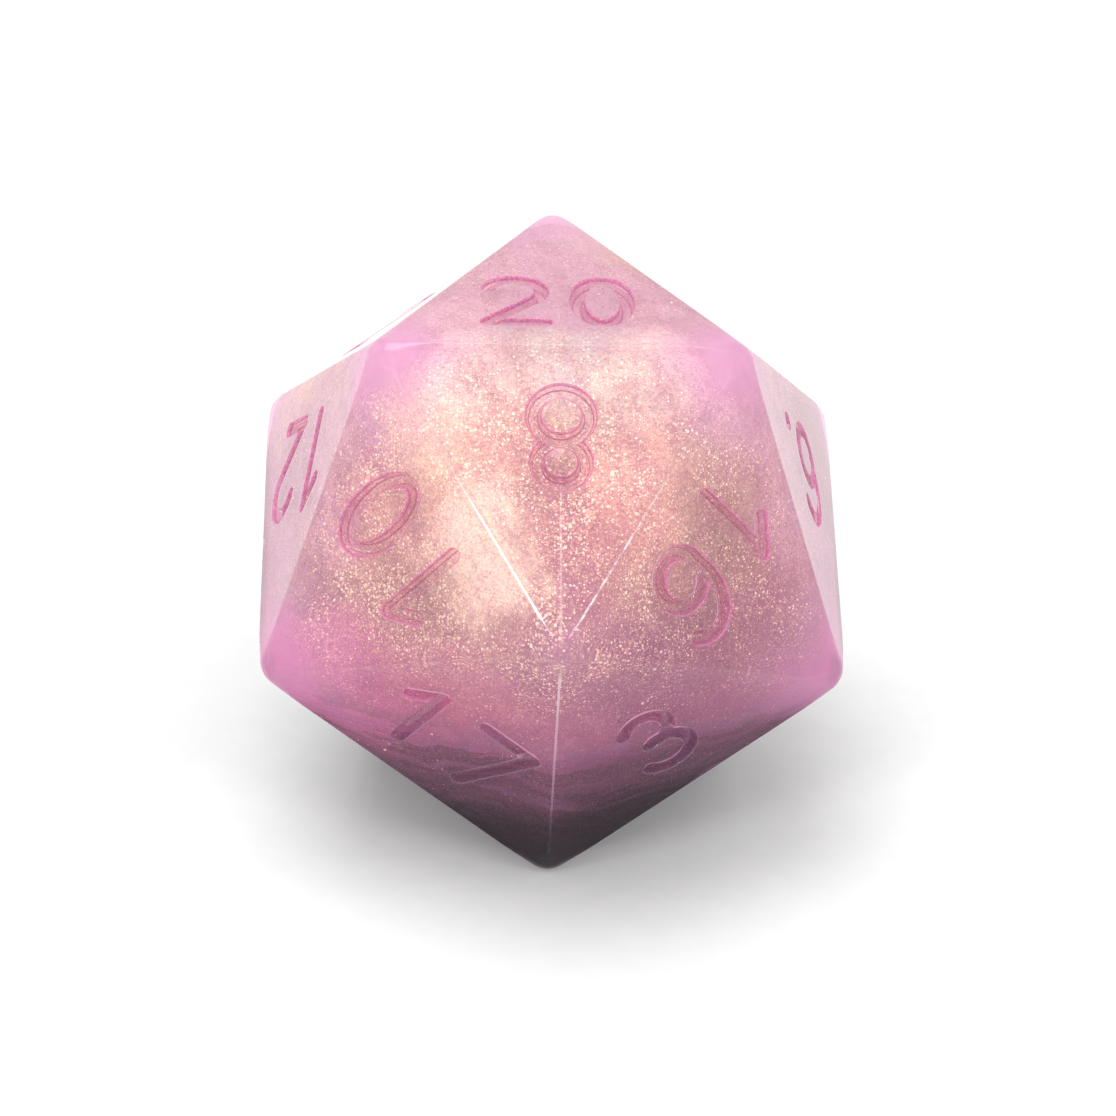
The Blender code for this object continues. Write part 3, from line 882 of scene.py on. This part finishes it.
def shell_resin():
    """The core's shell has the resin's own index, so only a faint film of it shows."""
    n = Nodes("shell_resin")
    p = n.place()
    film = n.noise(p, 6.0, 4.0)
    tint = n.mix(n.ramp(film, 0.3, 0.7), (0.98, 0.90, 0.92), (0.94, 0.82, 0.86))
    clear = n.add("ShaderNodeBsdfTransparent", Color=tint)
    skin = n.add("ShaderNodeBsdfPrincipled", Base_Color=(0.8, 0.5, 0.58), Roughness=0.3)
    return n.shade(n.blend(n.ramp(film, 0.45, 0.75, 0.01, 0.07), clear.outputs[0], skin.outputs[0]))


def plug_resin():
    n = Nodes("plug_resin")
    p = n.place()
    film = n.noise(p, 20.0, 4.0)
    tint = n.mix(n.ramp(film, 0.3, 0.7), (0.9, 0.62, 0.66), (0.8, 0.5, 0.58))
    return n.shade(n.add("ShaderNodeBsdfPrincipled", Base_Color=tint, Roughness=0.25, Alpha=0.45).outputs[0])


def flake_metal():
    n = Nodes("glitter_flakes")
    tone = n.add("ShaderNodeAttribute")
    tone.attribute_name = "tone"
    ramp = n.tree.nodes.new("ShaderNodeValToRGB")
    stops = (
        (0.0, (1.0, 0.62, 0.40)),
        (0.35, (1.0, 0.80, 0.58)),
        (0.7, (1.0, 0.90, 0.80)),
        (1.0, (1.0, 0.55, 0.50)),
    )
    while len(ramp.color_ramp.elements) < len(stops):
        ramp.color_ramp.elements.new(0.5)
    for element, (at, colour) in zip(ramp.color_ramp.elements, stops):
        element.position = at
        element.color = (*colour, 1)
    n.tree.links.new(tone.outputs["Fac"], ramp.inputs["Fac"])
    return n.shade(n.add("ShaderNodeBsdfPrincipled", Base_Color=ramp.outputs["Color"], Metallic=1.0,
                         Roughness=0.28).outputs[0])


# ---------------------------------------------------------------- pieces inside
def ball(name, radius, material):
    bm = bmesh.new()
    bmesh.ops.create_uvsphere(bm, u_segments=BALL_STEPS, v_segments=BALL_STEPS // 2, radius=radius)
    bmesh.ops.translate(bm, verts=bm.verts, vec=CENTRE)
    for face in bm.faces:
        face.smooth = True
    return link_mesh(name, bm, material, "liquid")


def flakes(name, places, sizes, tones, random, material, body):
    """Thin six-sided flakes, closed, at these places and at random angles."""
    count = len(places)
    angles = np.arange(6) * math.pi / 3
    plate = np.zeros((8, 3))
    plate[:6, 0] = np.cos(angles)
    plate[:6, 1] = np.sin(angles)
    plate[6, 2] = 0.12
    plate[7, 2] = -0.12
    spin = random.normal(size=(count, 4))
    spin /= np.linalg.norm(spin, axis=1, keepdims=True)
    w, x, y, z = spin.T
    turn = np.empty((count, 3, 3))
    turn[:, 0] = np.stack((1 - 2 * (y * y + z * z), 2 * (x * y - z * w), 2 * (x * z + y * w)), 1)
    turn[:, 1] = np.stack((2 * (x * y + z * w), 1 - 2 * (x * x + z * z), 2 * (y * z - x * w)), 1)
    turn[:, 2] = np.stack((2 * (x * z - y * w), 2 * (y * z + x * w), 1 - 2 * (x * x + y * y)), 1)
    points = np.einsum("nij,kj->nki", turn, plate) * sizes[:, None, None] + places[:, None, :]
    around = [(k, (k + 1) % 6) for k in range(6)]
    tris = np.array([(a, b, 6) for a, b in around] + [(b, a, 7) for a, b in around])
    faces = (tris[None] + np.arange(count)[:, None, None] * 8).reshape(-1, 3)
    mesh = bpy.data.meshes.new(name)
    mesh.from_pydata(points.reshape(-1, 3), [], faces)
    tone = mesh.attributes.new("tone", "FLOAT", "POINT")
    tone.data.foreach_set("value", np.repeat(tones, 8).astype(np.float32))
    return link_mesh(name, mesh, material, body)


def veil(size):
    """The rounded die shape, smaller: it carries the cloud of mica that lies just under the surface."""
    bm = hull_mesh(point * size for point in rounded_points())
    bmesh.ops.recalc_face_normals(bm, faces=bm.faces)
    return link_mesh("mica_veil", bm, veil_resin(size), "casting")


def spread(random, count):
    """Random directions, even over a ball."""
    aim = random.normal(size=(count, 3))
    return aim / np.linalg.norm(aim, axis=1, keepdims=True)


def core_flakes(material):
    """The glitter in the liquid, near its surface."""
    random = np.random.default_rng(11)
    aim = spread(random, 9000)
    # Fewer flakes below the middle, where the liquid is mostly dark.
    keep = random.random(len(aim)) < np.clip(0.75 + 0.5 * aim[:, 2], 0.12, 1.0)
    aim = aim[keep]
    depth = random.random(len(aim)) ** 2
    radii = LIQUID_RADIUS - 0.1 * MM - depth * 1.0 * MM
    places = aim * radii[:, None] + np.array(CENTRE)
    sizes = (0.035 + 0.045 * random.random(len(aim)) ** 2) * MM
    return flakes("core_glitter", places, sizes, random.random(len(aim)), random, material, "liquid")


def casting_flakes(material):
    """The glitter in the resin, between the mica cloud and the surface."""
    random = np.random.default_rng(23)
    aim = spread(random, 16000)
    normals = np.array([face_normal(value) for value in FACES])
    surface = 1 / (aim @ normals.T).max(1)
    corners = np.array([corner_point(name).normalized() for name in CORNERS])
    corner = (aim @ corners.T).max(1)
    # Thick in the middle of the faces and over the top, thin at the corners and in the ink below.
    dense = np.clip((0.975 - corner) / 0.05, 0.06, 1.0) * np.clip(0.45 + 1.5 * aim[:, 2], 0.10, 1.0)
    keep = random.random(len(aim)) < dense
    aim = aim[keep]
    surface = surface[keep]
    depth = (0.53 + 0.1 * random.random(len(aim))) * MM
    places = aim * ((INRADIUS - depth) * surface)[:, None] + np.array(CENTRE)
    sizes = (0.022 + 0.045 * random.random(len(places)) ** 3) * MM
    return flakes("casting_glitter", places, sizes, random.random(len(places)), random, material, "casting")


# ---------------------------------------------------------------- build
die = casting((
    clear_rose(),
    cut_rose("rose_resin_cut_bend", 0.82, 0.1, 0.45),
    cut_rose("rose_resin_cut_floor", 0.3, 0.06, 0.06),
    edge_rose(),
))
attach(die, "casting")
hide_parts("casting_base_pour", "casting_lower_pour", "casting_upper_pour")

liquid = ball("glitter_liquid", LIQUID_RADIUS, mica("mica_outer", 1, 0.05, 0.3))
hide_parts("core_glitter_liquid")
middle = ball("mica_cloud", LIQUID_RADIUS - 0.45 * MM, mica("mica_middle", 2, 0.35, 0.95))
heart = ball("mica_heart", LIQUID_RADIUS - 1.2 * MM, mica("mica_heart", 3, 1.0, 1.0))
veil_piece = veil(VEIL_SIZE)
metal = flake_metal()
core_glitter = core_flakes(metal)
casting_glitter = casting_flakes(metal)

for node, material in (
    ("core_shell_lower", shell_resin()),
    ("core_shell_upper", shell_resin()),
    ("core_fill_plug", plug_resin()),
):
    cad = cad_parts[node]
    for place in cad.material_slots:
        place.material = material


# ---------------------------------------------------------------- studio
def studio():
    bm = bmesh.new()
    bmesh.ops.create_circle(bm, cap_ends=True, segments=BALL_STEPS, radius=FLOOR_RADIUS)
    floor = link_mesh("floor", bm)
    n = Nodes("paper")
    grain = n.noise(n.add("ShaderNodeTexCoord").outputs["Object"], 900.0, 3.0)
    colour = n.mix(n.ramp(grain, 0.3, 0.7), (0.88, 0.885, 0.89), (0.90, 0.90, 0.90))
    floor.data.materials.append(n.shade(n.add("ShaderNodeBsdfPrincipled", Base_Color=colour, Roughness=0.7,
                                              Specular_IOR_Level=0.2).outputs[0]))

    scene = bpy.context.scene
    world = bpy.data.worlds.new("studio")
    scene.world = world
    world.use_nodes = True
    # The white cove is brightest level with the die and dimmer straight up.
    tree = world.node_tree
    up = tree.nodes.new("ShaderNodeSeparateXYZ")
    fade = tree.nodes.new("ShaderNodeMapRange")
    aim = tree.nodes.new("ShaderNodeTexCoord")
    tree.links.new(aim.outputs["Generated"], up.inputs["Vector"])
    tree.links.new(up.outputs["Z"], fade.inputs["Value"])
    fade.inputs["From Min"].default_value = 0.1
    fade.inputs["From Max"].default_value = 0.9
    fade.inputs["To Min"].default_value = 1.03
    fade.inputs["To Max"].default_value = 0.70
    tree.nodes["Background"].inputs["Color"].default_value = (1.0, 0.995, 0.99, 1)
    tree.links.new(fade.outputs["Result"], tree.nodes["Background"].inputs["Strength"])

    for name, azimuth, elevation, distance, size, power in (
        ("softbox_left", -39.7, 37, 0.5, 0.1, 0.36),
        ("softbox_right", 44, 36, 0.5, 0.12, 0.38),
        ("overhead", -110, 80, 0.45, 0.26, 0.9),
    ):
        lamp = bpy.data.lights.new(name, "AREA")
        lamp.energy = power
        lamp.size = size
        thing = bpy.data.objects.new(name, lamp)
        scene.collection.objects.link(thing)
        thing.location = CENTRE + Vector(heading(azimuth, elevation)) * distance
        thing.rotation_euler = (CENTRE - thing.location).to_track_quat("-Z", "Y").to_euler()


def photo_camera():
    """The camera looks down at the die from almost straight ahead, as a long lens would see it."""
    azimuth, elevation, roll = math.radians(-2.577), math.radians(29.27), math.radians(2.036)
    distance = 11.92 * EDGE
    aside, above = -0.0221 * EDGE, 0.0545 * EDGE
    back = Vector((math.sin(azimuth) * math.cos(elevation), -math.cos(azimuth) * math.cos(elevation),
                   math.sin(elevation)))
    right = Vector((math.cos(azimuth), math.sin(azimuth), 0))
    up = back.cross(right)
    turned_right = right * math.cos(roll) + up * math.sin(roll)
    turned_up = up * math.cos(roll) - right * math.sin(roll)
    camera = bpy.data.cameras.new("camera")
    camera.lens = 136.2
    camera.sensor_width = 36
    camera.clip_start = 0.01
    camera.clip_end = 10
    thing = bpy.data.objects.new("camera", camera)
    bpy.context.scene.collection.objects.link(thing)
    spot = CENTRE + back * distance - turned_right * aside - turned_up * above
    rows = Matrix((turned_right, turned_up, back)).transposed().to_4x4()
    rows.translation = spot
    thing.matrix_world = rows
    bpy.context.scene.camera = thing


studio()
photo_camera()
scene = bpy.context.scene
scene.view_settings.view_transform = "Standard"
scene.cycles.use_denoising = True
scene.cycles.denoising_prefilter = "NONE"
scene.cycles.caustics_refractive = False
scene.cycles.caustics_reflective = False
scene.cycles.transparent_max_bounces = 24
